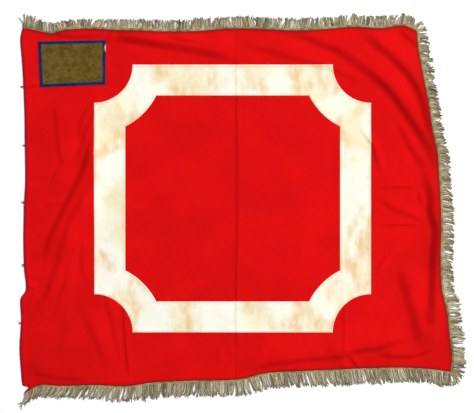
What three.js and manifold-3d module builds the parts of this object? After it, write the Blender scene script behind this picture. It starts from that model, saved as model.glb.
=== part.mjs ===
// A fringed cloth flag of the size carried in parades, laid out face up on a level surface.
// It is one thin sheet whose outline wanders as loose cloth does, and whose folds stand up as long soft
// ridges. A cream band and a bound patch are sewn on top of it, and a fringe with a narrow heading runs
// round three sides. The fourth side is the hoist, the side that met the pole: it is bare, with the cut
// ends of its sewing threads.
// Millimetres, +Z up, +X towards the fly, +Y towards the head. The surface it lies on is z = 0.
import * as THREE from "three";
import { mergeVertices } from "three/addons/utils/BufferGeometryUtils.js";
import Module from "manifold-3d";

const wasm = await Module();
wasm.setup();

// Cloth thicknesses and the clearance kept between two pieces.
const CLOTH_THICKNESS = 1.5;
const BAND_THICKNESS = 1;
const PATCH_THICKNESS = 1.6;
const BINDING_THICKNESS = 2;
const CLEARANCE = 0.3;
const END_CLEARANCE = 0.45; // between the ends of two runs of fringe, and beside the hoist

// The sheet is a net of cells, fine enough for its folds.
const CELLS_ALONG = 40;
const CELLS_ACROSS = 34;

// The four edges of the sheet as they lie. Head and foot run from hoist to fly, the other two run downwards.
const HEAD_EDGE = [
  [-746, 620], [-694, 610], [-648, 600], [-602, 612], [-513, 616], [-364, 609], [-177, 607],
  [-17, 618], [214, 610], [384, 622], [473, 618], [548, 627], [592, 610],
];
const FLY_EDGE = [
  [592, 610], [600, 535], [615, 448], [630, 366], [646, 263], [664, 186], [669, 98],
  [674, -36], [672, -191], [677, -268], [695, -345], [705, -422], [713, -499], [709, -549],
];
const FOOT_EDGE = [
  [-741, -623], [-714, -606], [-687, -594], [-617, -597], [-514, -594], [-386, -597], [-309, -586],
  [-181, -579], [-17, -575], [86, -553], [214, -546], [343, -540], [497, -535], [625, -538], [709, -549],
];
const HOIST_EDGE = [
  [-746, 620], [-753, 586], [-748, 509], [-742, 407], [-738, 253], [-737, 100], [-741, 11],
  [-743, -88], [-741, -191], [-735, -273], [-752, -299], [-751, -371], [-756, -474], [-751, -551],
  [-746, -596], [-741, -623],
];

// The tear at the foot of the hoist, which leaves a narrow tongue of cloth along the fringe.
const TEAR = [
  [-790, -595], [-746, -596], [-724, -598], [-732, -607], [-746, -619], [-790, -622],
];

// Each fold is a ridge along a line, with its heights at the line's start and end. Its steep flank is
// centred on the line, its gentle flank lies to the left of the line as the points run, and it dies away
// at both ends.
const FOLDS = [
  { along: [
    [105, 603], [197, 591], [270, 562], [333, 536], [407, 483], [480, 426], [531, 364], [582, 290],
    [640, 195], [690, 105],
  ],
    height: [7.5, 13], steep: 40, gentle: 140 },
  { along: [
    [380, 620], [458, 559], [512, 512], [563, 457], [600, 395], [620, 330], [636, 262], [652, 195],
  ],
    height: [11.5, 9], steep: 36, gentle: 90 },
  { along: [[-30, 563], [70, 545], [180, 515], [274, 488], [359, 454], [424, 415]],
    height: [4.5, 4.5], steep: 26, gentle: 90 },
  { along: [[526, 307], [548, 262], [565, 222], [588, 188], [605, 160], [614, 130]],
    height: [5, 5], steep: 26, gentle: 80 },
  { along: [
    [600, 172], [616, 126], [630, 80], [639, 35], [638, -6], [652, -53], [655, -81], [649, -135],
    [645, -217], [641, -305], [639, -380], [640, -440],
  ],
    height: [11, 15], steep: 32, gentle: 70 },
  { along: [[544, -175], [545, -237], [563, -305], [584, -373], [598, -441], [604, -475]],
    height: [9, 10], steep: 42, gentle: 110 },
  { along: [[0, -568], [38, -543], [84, -526], [152, -517], [220, -508], [300, -503], [396, -487]],
    height: [8.5, 8.5], steep: 26, gentle: 90 },
  { along: [[322, -524], [360, -488], [401, -478], [469, -468], [530, -444], [566, -436]],
    height: [10, 10.5], steep: 24, gentle: 90 },
  { along: [[444, -490], [524, -497], [571, -498], [605, -489], [646, -468], [694, -396]],
    height: [7, 7], steep: 18, gentle: 70 },
  { along: [[-455, 581], [-370, 575], [-290, 563], [-222, 552], [-154, 540], [-80, 524], [0, 506]],
    height: [11, 10.5], steep: 33, gentle: 80 },
  { along: [[-498, 290], [-521, 205], [-552, 110], [-597, 24], [-631, -50], [-662, -118], [-673, -194]],
    height: [11.5, 11], steep: 28, gentle: 120 },
  { along: [[-400, 418], [-444, 386], [-495, 335], [-535, 262], [-541, 228], [-563, 177], [-582, 146]],
    height: [6, 6], steep: 24, gentle: 100 },
  { along: [
    [-642, 392], [-634, 307], [-629, 250], [-623, 199], [-613, 160], [-626, 140], [-643, 109],
    [-656, 56],
  ],
    height: [3.5, 3.5], steep: 20, gentle: 70 },
  { along: [
    [-505, 100], [-530, 62], [-558, 12], [-585, -33], [-609, -107], [-634, -192], [-665, -277],
    [-688, -315],
  ],
    height: [8, 5.5], steep: 28, gentle: 100 },
  { along: [[-735, -548], [-677, -561], [-620, -571], [-520, -577]],
    height: [4, 4], steep: 22, gentle: 80 },
];
const FOLD_END = 0.22; // the share of a fold's length over which each of its ends dies away
const FOLD_STEPS = 28; // straight steps that stand for a fold's line when distances to it are measured

// The band is one closed strip of cloth. Its corners are cut in by quarter circles.
const BAND_CENTRE = { x: -32, y: 40 };
const BAND_HALF = { x: 470, y: 455 };
const BAND_WIDTH = 105;
const BAND_CORNER = 130;

// The patch near the head of the hoist, out to the outer edge of the binding sewn round it.
const PATCH_CORNERS = [[-687, 418], [-463, 427], [-463, 579], [-693, 574]];
const BINDING_WIDTH = 12;

// The fringe: a flat heading along the cloth's edge, and locks of yarn that hang from it.
const HEADING_WIDTH = 8;
const HEADING_THICKNESS = 2.4;
const LOCK_PITCH = 14.6;
const LOCK_ROOT_WIDTH = 10.3;
const LOCK_ROOT_THICKNESS = 1.4;
const LOCK_WIDTH = 11.5;
const LOCK_THICKNESS = 3.2;
const LOCK_TAPER = 0.6; // the share of its width and thickness that a lock keeps at its end
const LOCK_ROOT = 3; // how far a lock reaches into its heading
const LOCK_BEND = 0.45; // the share of its length at which a lock bends
const BEND_LIFT = 0.4; // the share of the heading's height that a lock still has at its bend
const LEAN_SCATTER = 1.8; // degrees by which a lock's lean strays from its neighbours'
const CURL_SCATTER = 4; // degrees by which its outer end turns aside
const REACH_SCATTER = 0.08;
const HANG_CELLS = 3; // how many cells of the net to either side turn the direction in which a lock hangs
const CORNER_LOCKS = 4;
const CORNER_LOCK_ROOT = 3.2; // the width of a lock where it leaves the heading at a corner
const CORNER_LOCK_WIDTH = 8;

// How far the locks reach beyond the heading and how far they lean, read at even steps along each side.
// A lean is in degrees towards where the side leads: the head leads to the fly, the fly to the foot, and
// the foot back to the hoist. The seed sets how the locks of a side stray from one another.
const HEAD_FRINGE = {
  reach: [35, 25, 24, 31, 32, 33, 32, 31, 33, 33, 34, 28],
  lean: [-6, -16, 6, -6, 5, -4, 6, 0, 8, 6],
  seed: 11,
};
const FLY_FRINGE = {
  reach: [29, 33, 32, 33, 35, 38, 37, 39, 40, 39],
  lean: [4, 10, 12, 6, 12, 5, 10, 4, 12, 8],
  seed: 211,
};
const FOOT_FRINGE = {
  reach: [43, 39, 44, 45, 43, 45, 44, 44, 43, 41, 38, 45],
  lean: [-14, -20, -18, -14, -14, -8, 2, 8, 10, 18, 28, 34, 42],
  seed: 431,
};

// The cut ends of the hoist's sewing threads: how far up the flag each lies, and its lean in degrees.
const THREADS = [
  { y: 419, lean: 4 },
  { y: 219, lean: -16 },
  { y: 28, lean: 6 },
  { y: -184, lean: 26 },
  { y: -383, lean: 8 },
];
const THREAD_LENGTH = 12;
const THREAD_ROOT_WIDTH = 2.1;
const THREAD_WIDTH = 3;
const THREAD_THICKNESS = 1.5;
const THREAD_TAPER = 0.5;

const BLOCK_HEIGHT = 80; // of the upright blocks that cut an outline through the folded sheet
const ARC_STEPS = 10; // straight steps that stand for each arc of an outline
const MERGE_DISTANCE = 1e-4; // points of a surface that lie closer than this are one point

// A solid from a geometry whose surface is closed.
function solidOf(geometry) {
  const bare = geometry.clone();
  bare.deleteAttribute("normal");
  bare.deleteAttribute("uv");
  const merged = mergeVertices(bare, MERGE_DISTANCE);
  return new wasm.Manifold(new wasm.Mesh({
    numProp: 3,
    vertProperties: merged.attributes.position.array,
    triVerts: new Uint32Array(merged.index.array),
  }));
}

function closedGeometry(points, faces) {
  const geometry = new THREE.BufferGeometry();
  geometry.setAttribute("position", new THREE.Float32BufferAttribute(points.flat(), 3));
  geometry.setIndex(faces.flat());
  return geometry;
}

// A named mesh of a solid, in its own cloth colour.
function pieceOf(name, solid, material) {
  const { vertProperties, triVerts } = solid.getMesh();
  const geometry = new THREE.BufferGeometry();
  geometry.setAttribute("position", new THREE.BufferAttribute(new Float32Array(vertProperties), 3));
  geometry.setIndex(new THREE.BufferAttribute(new Uint32Array(triVerts), 1));
  geometry.computeVertexNormals();
  const mesh = new THREE.Mesh(geometry, material);
  mesh.name = name;
  return mesh;
}

// An upright block with the given outline, high enough to cut right through the cloth.
function block(shape) {
  const geometry = new THREE.ExtrudeGeometry(shape, {
    depth: BLOCK_HEIGHT,
    bevelEnabled: false,
    curveSegments: ARC_STEPS,
  });
  geometry.translate(0, 0, -BLOCK_HEIGHT / 4);
  return solidOf(geometry);
}

function outline(corners) {
  return new THREE.Shape(corners.map(([x, y]) => new THREE.Vector2(x, y)));
}

function smoothStep(low, high, value) {
  return THREE.MathUtils.smoothstep(value, low, high);
}

function curveThrough(points) {
  return new THREE.CatmullRomCurve3(points.map(([x, y]) => new THREE.Vector3(x, y, 0)));
}

const head = curveThrough(HEAD_EDGE);
const fly = curveThrough(FLY_EDGE);
const foot = curveThrough(FOOT_EDGE);
const hoist = curveThrough(HOIST_EDGE);

// The point of the sheet at the given shares of the way from hoist to fly and from foot to head.
function layPoint(along, up) {
  const bottom = foot.getPointAt(along);
  const top = head.getPointAt(along);
  const left = hoist.getPointAt(1 - up);
  const right = fly.getPointAt(1 - up);
  const across = (axis) =>
    (1 - up) * bottom[axis] + up * top[axis] + (1 - along) * left[axis] + along * right[axis];
  const corners = (axis) =>
    (1 - along) * (1 - up) * foot.getPointAt(0)[axis] + along * (1 - up) * foot.getPointAt(1)[axis] +
    (1 - along) * up * head.getPointAt(0)[axis] + along * up * head.getPointAt(1)[axis];
  return new THREE.Vector2(across("x") - corners("x"), across("y") - corners("y"));
}

for (const fold of FOLDS) {
  fold.line = curveThrough(fold.along).getSpacedPoints(FOLD_STEPS);
}

// How high one fold lifts the cloth at a point.
function foldHeight(fold, x, y) {
  let nearest = Infinity;
  let offset = 0;
  let share = 0;
  for (let k = 0; k < FOLD_STEPS; k++) {
    const start = fold.line[k];
    const stepX = fold.line[k + 1].x - start.x;
    const stepY = fold.line[k + 1].y - start.y;
    const length = Math.hypot(stepX, stepY);
    const along = THREE.MathUtils.clamp(((x - start.x) * stepX + (y - start.y) * stepY) / length ** 2, 0, 1);
    const away = Math.hypot(x - start.x - along * stepX, y - start.y - along * stepY);
    if (away < nearest) {
      nearest = away;
      offset = (stepX * (y - start.y) - stepY * (x - start.x)) / length;
      share = (k + along) / FOLD_STEPS;
    }
  }
  const distance = Math.sign(offset) * nearest;
  const crest = fold.steep / 2;
  const fall = smoothStep(crest, crest + fold.gentle, distance);
  const profile = smoothStep(-crest, crest, distance) * (1 - fall);
  const ends = smoothStep(0, FOLD_END, share) * (1 - smoothStep(1 - FOLD_END, 1, share));
  return THREE.MathUtils.lerp(...fold.height, share) * profile * ends;
}

// How high the underside of the cloth stands above the surface that it lies on.
function layHeight(x, y) {
  return FOLDS.reduce((sum, fold) => sum + foldHeight(fold, x, y), 0);
}

// The net's points, with the height of the cloth's underside at each.
const net = [];
for (let row = 0; row <= CELLS_ACROSS; row++) {
  for (let column = 0; column <= CELLS_ALONG; column++) {
    const { x, y } = layPoint(column / CELLS_ALONG, row / CELLS_ACROSS);
    net.push({ x, y, lift: layHeight(x, y) });
  }
}
const netIndex = (column, row) => row * (CELLS_ALONG + 1) + column;

// A layer of the sheet that follows its folds, from one height above the cloth's underside to another.
function layer(low, thickness) {
  const under = net.map(({ x, y, lift }) => [x, y, lift + low]);
  const over = net.map(({ x, y, lift }) => [x, y, lift + low + thickness]);
  const upper = net.length;
  const faces = [];
  const wall = (a, b) => faces.push([a, b, b + upper], [a, b + upper, a + upper]);
  for (let row = 0; row < CELLS_ACROSS; row++) {
    for (let column = 0; column < CELLS_ALONG; column++) {
      const a = netIndex(column, row);
      const b = netIndex(column + 1, row);
      const c = netIndex(column + 1, row + 1);
      const d = netIndex(column, row + 1);
      faces.push([a + upper, b + upper, c + upper], [a + upper, c + upper, d + upper]);
      faces.push([a, c, b], [a, d, c]);
    }
  }
  for (let column = 0; column < CELLS_ALONG; column++) {
    wall(netIndex(column, 0), netIndex(column + 1, 0));
    wall(netIndex(column + 1, CELLS_ACROSS), netIndex(column, CELLS_ACROSS));
  }
  for (let row = 0; row < CELLS_ACROSS; row++) {
    wall(netIndex(CELLS_ALONG, row), netIndex(CELLS_ALONG, row + 1));
    wall(netIndex(0, row + 1), netIndex(0, row));
  }
  return solidOf(closedGeometry([...under, ...over], faces));
}

// A rectangle whose corners are cut in by arcs, drawn as a shape or as a hole that lies the given distance
// inside it. The arcs are centred on the corners of the band's outer edge, so the band is equally wide all
// the way round.
function cutCornerPath(path, inset) {
  const radius = BAND_CORNER + inset;
  const trim = Math.asin(inset / radius);
  [[1, -1], [1, 1], [-1, 1], [-1, -1]].forEach(([sideX, sideY], k) => {
    const centreX = BAND_CENTRE.x + sideX * BAND_HALF.x;
    const centreY = BAND_CENTRE.y + sideY * BAND_HALF.y;
    const start = Math.PI * (1 + k / 2);
    path.absarc(centreX, centreY, radius, start - trim, start - Math.PI / 2 + trim, true);
  });
  return path;
}

function bandShape() {
  const shape = cutCornerPath(new THREE.Shape(), 0);
  shape.holes.push(cutCornerPath(new THREE.Path(), BAND_WIDTH));
  return shape;
}

// The patch's corners moved in towards its middle, so that each edge moves by the given distance.
function patchInset(distance) {
  const middle = PATCH_CORNERS.reduce(([x, y], corner) => [x + corner[0] / 4, y + corner[1] / 4], [0, 0]);
  return PATCH_CORNERS.map(([x, y]) => [
    x + distance * Math.sign(middle[0] - x),
    y + distance * Math.sign(middle[1] - y),
  ]);
}

// A closed tube of a few stations, each a ring of as many points as the next.
function tubeGeometry(rings) {
  const around = rings[0].length;
  const faces = [];
  for (let station = 0; station < rings.length - 1; station++) {
    for (let side = 0; side < around; side++) {
      const a = station * around + side;
      const b = station * around + ((side + 1) % around);
      faces.push([a, b, b + around], [a, b + around, a + around]);
    }
  }
  const last = (rings.length - 1) * around;
  for (let side = 1; side < around - 1; side++) {
    faces.push([0, side + 1, side], [last, last + side, last + side + 1]);
  }
  return closedGeometry(rings.flat(), faces);
}

// The stations of a fringe heading along a run of edge points: the outward direction at each, and the
// direction in which the locks hang there, which turns more gently than the edge does.
function edgeStations(points) {
  const outward = [];
  for (let k = 0; k < points.length - 1; k++) {
    const step = new THREE.Vector2(points[k + 1].x - points[k].x, points[k + 1].y - points[k].y).normalize();
    outward.push(new THREE.Vector2(-step.y, step.x));
  }
  const meanOutward = (first, last) => {
    const near = outward.slice(Math.max(first, 0), last + 1);
    return near.reduce((sum, direction) => sum.add(direction), new THREE.Vector2()).normalize();
  };
  return points.map((point, k) => ({
    ...point,
    out: meanOutward(k - 1, k),
    hang: meanOutward(k - 1 - HANG_CELLS, k + HANG_CELLS),
  }));
}

// The stations round a corner, where the outward direction turns from one to another at one point.
function cornerStations(point, from, to) {
  const turn = Math.atan2(from.x * to.y - from.y * to.x, from.dot(to));
  return Array.from({ length: CORNER_LOCKS + 1 }, (_, k) => {
    const out = from.clone().rotateAround(new THREE.Vector2(), (turn * k) / (CORNER_LOCKS + 1));
    return { ...point, out, hang: out, corner: true, cornerLock: k > 0 };
  });
}

function offsetPoint({ x, y, out }, distance) {
  return [x + out.x * distance, y + out.y * distance];
}

function headingSolid(stations) {
  const rings = stations.map((station) => {
    const [innerX, innerY] = offsetPoint(station, CLEARANCE);
    const [outerX, outerY] = offsetPoint(station, CLEARANCE + HEADING_WIDTH);
    const top = station.lift + HEADING_THICKNESS;
    return [
      [innerX, innerY, station.lift], [outerX, outerY, station.lift],
      [outerX, outerY, top], [innerX, innerY, top],
    ];
  });
  return solidOf(tubeGeometry(rings));
}

// A lock of yarn: it leaves its heading, comes down and rests on its flat underside, and narrows to its end.
// The more it leans the narrower it is, so that it keeps clear of the locks beside it.
function lockSolid(root, lean, curl, length, rootWidth, width) {
  const rootDirection = root.hang.clone().rotateAround(new THREE.Vector2(), -lean / 2);
  const endDirection = root.hang.clone().rotateAround(new THREE.Vector2(), -lean - curl);
  const start = new THREE.Vector2(root.x, root.y).addScaledVector(root.out, -LOCK_ROOT);
  const middle = start.clone().addScaledVector(rootDirection, LOCK_ROOT + length * LOCK_BEND);
  const end = middle.clone().addScaledVector(endDirection, length * (1 - LOCK_BEND));
  const ring = (point, direction, z, across, thickness) => {
    const sideX = -direction.y * across / 2;
    const sideY = direction.x * across / 2;
    return [
      [point.x - sideX, point.y - sideY, z],
      [point.x + sideX, point.y + sideY, z],
      [point.x, point.y, z + thickness],
    ];
  };
  const rootRise = (HEADING_THICKNESS - LOCK_ROOT_THICKNESS) / 2;
  return solidOf(tubeGeometry([
    ring(start, root.out, root.lift + rootRise, rootWidth, LOCK_ROOT_THICKNESS),
    ring(middle, rootDirection, root.lift * BEND_LIFT, width * Math.cos(lean), LOCK_THICKNESS),
    ring(end, endDirection, 0, width * Math.cos(lean) * LOCK_TAPER, LOCK_THICKNESS * LOCK_TAPER),
  ]));
}

// An even, repeatable scatter between -1 and 1.
function scatter(seed) {
  const wave = Math.sin(seed * 12.9898) * 43758.5453;
  return 2 * (wave - Math.floor(wave)) - 1;
}

function valueAlong(list, share) {
  const place = share * (list.length - 1);
  const k = Math.min(Math.floor(place), list.length - 2);
  return THREE.MathUtils.lerp(list[k], list[k + 1], place - k);
}

// A heading with its locks, as one solid. The locks stand at even steps along the heading's outer rim.
function fringeSolid(stations, { reach, lean: leans, seed }) {
  const rim = stations.map((station) => offsetPoint(station, CLEARANCE + HEADING_WIDTH));
  const steps = rim.slice(1).map(([x, y], k) => Math.hypot(x - rim[k][0], y - rim[k][1]));
  const total = steps.reduce((sum, step) => sum + step, 0);
  const locks = [];
  const addLock = (k, share, place, rootWidth, width) => {
    const root = {
      x: THREE.MathUtils.lerp(rim[k][0], rim[k + 1][0], share),
      y: THREE.MathUtils.lerp(rim[k][1], rim[k + 1][1], share),
      lift: THREE.MathUtils.lerp(stations[k].lift, stations[k + 1].lift, share),
      out: stations[k].out.clone().lerp(stations[k + 1].out, share).normalize(),
      hang: stations[k].hang.clone().lerp(stations[k + 1].hang, share).normalize(),
    };
    const key = seed + locks.length;
    const lean = THREE.MathUtils.degToRad(valueAlong(leans, place) + LEAN_SCATTER * scatter(key));
    const curl = THREE.MathUtils.degToRad(CURL_SCATTER * scatter(key + 0.37));
    const length = valueAlong(reach, place) * (1 + REACH_SCATTER * scatter(key + 0.71));
    locks.push(lockSolid(root, lean, curl, length, rootWidth, width));
  };
  let walked = 0;
  let next = LOCK_PITCH / 2;
  steps.forEach((step, k) => {
    if (stations[k].cornerLock) {
      addLock(k, 0, walked / total, CORNER_LOCK_ROOT, CORNER_LOCK_WIDTH);
    }
    const end = walked + step;
    if (stations[k].corner) {
      next = end + LOCK_PITCH / 2;
    }
    for (; next < Math.min(end, total - LOCK_PITCH / 2); next += LOCK_PITCH) {
      addLock(k, (next - walked) / step, next / total, LOCK_ROOT_WIDTH, LOCK_WIDTH);
    }
    walked = end;
  });
  return locks.reduce((sum, lock) => sum.add(lock), headingSolid(stations));
}

// The three runs of fringe. The run along the fly goes round both of its corners.
function fringeRuns() {
  const columns = Array.from({ length: CELLS_ALONG + 1 }, (_, k) => k);
  const rows = Array.from({ length: CELLS_ACROSS + 1 }, (_, k) => k);
  const headRun = edgeStations(columns.map((k) => net[netIndex(k, CELLS_ACROSS)]));
  const flyRun = edgeStations(rows.map((k) => net[netIndex(CELLS_ALONG, CELLS_ACROSS - k)]));
  const footRun = edgeStations(columns.map((k) => net[netIndex(CELLS_ALONG - k, 0)]));
  const headEnd = headRun[headRun.length - 1];
  const footStart = footRun[0];
  const flyEnd = flyRun[flyRun.length - 1];
  const upperCorner = cornerStations(headEnd, headEnd.out, flyRun[0].out);
  const lowerCorner = cornerStations(flyEnd, flyEnd.out, footStart.out);
  const flyWhole = [...upperCorner, ...flyRun.slice(0, -1), ...lowerCorner, { ...footStart }];
  pullBack(headEnd, headRun[headRun.length - 2]);
  pullBack(footStart, footRun[1]);
  return { headRun, flyWhole, footRun };
}

// Moves the end of a run back along its edge, clear of the run that turns the corner.
function pullBack(end, neighbour) {
  const step = Math.hypot(neighbour.x - end.x, neighbour.y - end.y);
  end.x += ((neighbour.x - end.x) / step) * END_CLEARANCE;
  end.y += ((neighbour.y - end.y) / step) * END_CLEARANCE;
}

// How far across the hoist's edge lies at a given place up the flag.
function hoistAt(y) {
  const rows = Array.from({ length: CELLS_ACROSS }, (_, k) => k);
  const row = rows.find((k) => net[netIndex(0, k + 1)].y > y);
  const low = net[netIndex(0, row)];
  const high = net[netIndex(0, row + 1)];
  return THREE.MathUtils.mapLinear(y, low.y, high.y, low.x, high.x);
}

// A cut thread end that lies on the surface, its root just clear of the hoist.
function threadSolid({ y, lean }) {
  const angle = Math.PI + THREE.MathUtils.degToRad(lean);
  const direction = new THREE.Vector2(Math.cos(angle), Math.sin(angle));
  const rootX = hoistAt(y) - END_CLEARANCE - Math.abs(direction.y) * THREAD_WIDTH / 2;
  const ring = (distance, width, thickness) => {
    const pointX = rootX + direction.x * distance;
    const pointY = y + direction.y * distance;
    return [
      [pointX + direction.y * width / 2, pointY - direction.x * width / 2, 0],
      [pointX - direction.y * width / 2, pointY + direction.x * width / 2, 0],
      [pointX, pointY, thickness],
    ];
  };
  return solidOf(tubeGeometry([
    ring(0, THREAD_ROOT_WIDTH, THREAD_THICKNESS),
    ring(THREAD_LENGTH / 2, THREAD_WIDTH, THREAD_THICKNESS),
    ring(THREAD_LENGTH, THREAD_WIDTH * THREAD_TAPER, THREAD_THICKNESS * THREAD_TAPER),
  ]));
}

const redCloth = new THREE.MeshStandardMaterial({ color: 0xdf0d10, roughness: 0.85, metalness: 0 });
const creamCloth = new THREE.MeshStandardMaterial({ color: 0xfaf0cf, roughness: 0.9, metalness: 0 });
const brownFelt = new THREE.MeshStandardMaterial({ color: 0x6b541c, roughness: 0.95, metalness: 0 });
const blueBraid = new THREE.MeshStandardMaterial({ color: 0x163f86, roughness: 0.85, metalness: 0 });
const taupeYarn = new THREE.MeshStandardMaterial({ color: 0x9c9178, roughness: 0.7, metalness: 0 });
const darkThread = new THREE.MeshStandardMaterial({ color: 0x54465a, roughness: 0.8, metalness: 0 });

const onTop = CLOTH_THICKNESS + CLEARANCE;
const flag = new THREE.Group();

flag.add(pieceOf("cloth", layer(0, CLOTH_THICKNESS).subtract(block(outline(TEAR))), redCloth));
flag.add(pieceOf("band", layer(onTop, BAND_THICKNESS).intersect(block(bandShape())), creamCloth));

const bindingShape = outline(PATCH_CORNERS);
bindingShape.holes.push(outline(patchInset(BINDING_WIDTH)));
const patchShape = outline(patchInset(BINDING_WIDTH + CLEARANCE));
flag.add(pieceOf("corner_patch", layer(onTop, PATCH_THICKNESS).intersect(block(patchShape)), brownFelt));
flag.add(pieceOf("patch_binding", layer(onTop, BINDING_THICKNESS).intersect(block(bindingShape)), blueBraid));

const { headRun, flyWhole, footRun } = fringeRuns();
flag.add(pieceOf("fringe_head", fringeSolid(headRun, HEAD_FRINGE), taupeYarn));
flag.add(pieceOf("fringe_fly", fringeSolid(flyWhole, FLY_FRINGE), taupeYarn));
flag.add(pieceOf("fringe_foot", fringeSolid(footRun, FOOT_FRINGE), taupeYarn));

THREADS.forEach((thread, k) => {
  flag.add(pieceOf(`hoist_thread_${k + 1}`, threadSolid(thread), darkThread));
});

export default flag;
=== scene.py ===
"""A fringed cloth flag, laid out face up on a pale floor and seen from straight above.

The cloth is one thin sheet on the folds of its CAD solid, with the finer creases, hems and press lines
added. The band, the patch and its binding are sheets of their own that lie on it, sewn down with small
stitches. Yarn fringe hangs from a wrapped heading on three sides. Lengths in this file are in millimetres
until a mesh is made, where they become metres.
"""
import math

import bpy
import numpy as np
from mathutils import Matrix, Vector


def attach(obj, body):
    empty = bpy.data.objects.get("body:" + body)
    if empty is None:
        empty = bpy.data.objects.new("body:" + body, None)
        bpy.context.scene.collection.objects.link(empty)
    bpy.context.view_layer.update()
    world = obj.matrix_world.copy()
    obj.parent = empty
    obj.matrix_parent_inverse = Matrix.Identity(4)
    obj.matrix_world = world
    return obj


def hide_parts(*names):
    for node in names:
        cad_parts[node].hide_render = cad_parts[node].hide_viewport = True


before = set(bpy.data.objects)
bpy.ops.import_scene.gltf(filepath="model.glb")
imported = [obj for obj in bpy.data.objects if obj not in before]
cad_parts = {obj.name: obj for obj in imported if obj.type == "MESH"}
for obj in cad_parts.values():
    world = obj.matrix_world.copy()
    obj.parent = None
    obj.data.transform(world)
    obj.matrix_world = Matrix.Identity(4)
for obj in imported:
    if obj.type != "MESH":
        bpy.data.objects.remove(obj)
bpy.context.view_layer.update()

MM = 0.001
SEED = 20

# The photograph's frame: its size in pixels, the pixel over the origin and the scale on the surface.
PHOTO_WIDTH = 474
PHOTO_HEIGHT = 413
MM_PER_PIXEL = 3.4
ORIGIN_PIXEL = (242, 210.3)

# The four edges of the cloth as it lies. Head and foot run from hoist to fly, the other two run downwards,
# and the hoist's edge follows the tear at its foot.
HEAD_EDGE = [
    (-746, 620), (-694, 610), (-648, 600), (-602, 612), (-513, 616), (-364, 609), (-177, 607),
    (-17, 618), (214, 610), (384, 622), (473, 618), (548, 627), (592, 610),
]
FLY_EDGE = [
    (592, 610), (600, 535), (615, 448), (630, 366), (646, 263), (664, 186), (669, 98),
    (674, -36), (672, -191), (677, -268), (695, -345), (705, -422), (713, -499), (709, -549),
]
FOOT_EDGE = [
    (-741, -623), (-714, -606), (-687, -594), (-617, -597), (-514, -594), (-386, -597), (-309, -586),
    (-181, -579), (-17, -575), (86, -553), (214, -546), (343, -540), (497, -535), (625, -538), (709, -549),
]
HOIST_EDGE = [
    (-746, 620), (-753, 586), (-748, 509), (-742, 407), (-738, 253), (-737, 100), (-741, 11),
    (-743, -88), (-741, -191), (-735, -273), (-752, -299), (-751, -371), (-756, -474), (-751, -551),
    (-747, -590), (-744, -596), (-728, -600), (-726, -603), (-736, -614), (-741, -623),
]
EDGE_POINTS = 1601
CURVE_STEPS = 24  # steps between two points of a curve

# Each fold is a ridge along a line: its points, its height at the start and at the end, and the widths of
# its steep flank, which is centred on the line, and of its gentle flank, which lies to the line's left as
# the points run.
FOLDS = [
    ([(105, 603), (197, 591), (270, 562), (333, 536), (407, 483), (480, 426),
      (531, 364), (582, 290), (640, 195), (690, 105)], (7.5, 13), 40, 140),
    ([(380, 620), (458, 559), (512, 512), (563, 457), (600, 395), (620, 330), (636, 262), (652, 195)],
     (11.5, 9), 36, 90),
    ([(-30, 563), (70, 545), (180, 515), (274, 488), (359, 454), (424, 415)], (4.5, 4.5), 26, 90),
    ([(526, 307), (548, 262), (565, 222), (588, 188), (605, 160), (614, 130)], (5, 5), 26, 80),
    ([(600, 172), (616, 126), (630, 80), (639, 35), (638, -6), (652, -53), (655, -81), (649, -135),
      (645, -217), (641, -305), (639, -380), (640, -440)], (11, 15), 32, 70),
    ([(544, -175), (545, -237), (563, -305), (584, -373), (598, -441), (604, -475)], (9, 10), 42, 110),
    ([(0, -568), (38, -543), (84, -526), (152, -517), (220, -508), (300, -503), (396, -487)],
     (8.5, 8.5), 26, 90),
    ([(322, -524), (360, -488), (401, -478), (469, -468), (530, -444), (566, -436)], (10, 10.5), 24, 90),
    ([(444, -490), (524, -497), (571, -498), (605, -489), (646, -468), (694, -396)], (7, 7), 18, 70),
    ([(-455, 581), (-370, 575), (-290, 563), (-222, 552), (-154, 540), (-80, 524), (0, 506)],
     (11, 10.5), 33, 80),
    ([(-498, 290), (-521, 205), (-552, 110), (-597, 24), (-631, -50), (-662, -118), (-673, -194)],
     (11.5, 11), 28, 120),
    ([(-400, 418), (-444, 386), (-495, 335), (-535, 262), (-541, 228), (-563, 177), (-582, 146)],
     (6, 6), 24, 100),
    ([(-642, 392), (-634, 307), (-629, 250), (-623, 199), (-613, 160), (-626, 140), (-643, 109), (-656, 56)],
     (3.5, 3.5), 20, 70),
    ([(-505, 100), (-530, 62), (-558, 12), (-585, -33), (-609, -107), (-634, -192), (-665, -277),
      (-688, -315)], (8, 5.5), 28, 100),
    ([(-735, -548), (-677, -561), (-620, -571), (-520, -577)], (4, 4), 22, 80),
]

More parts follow.
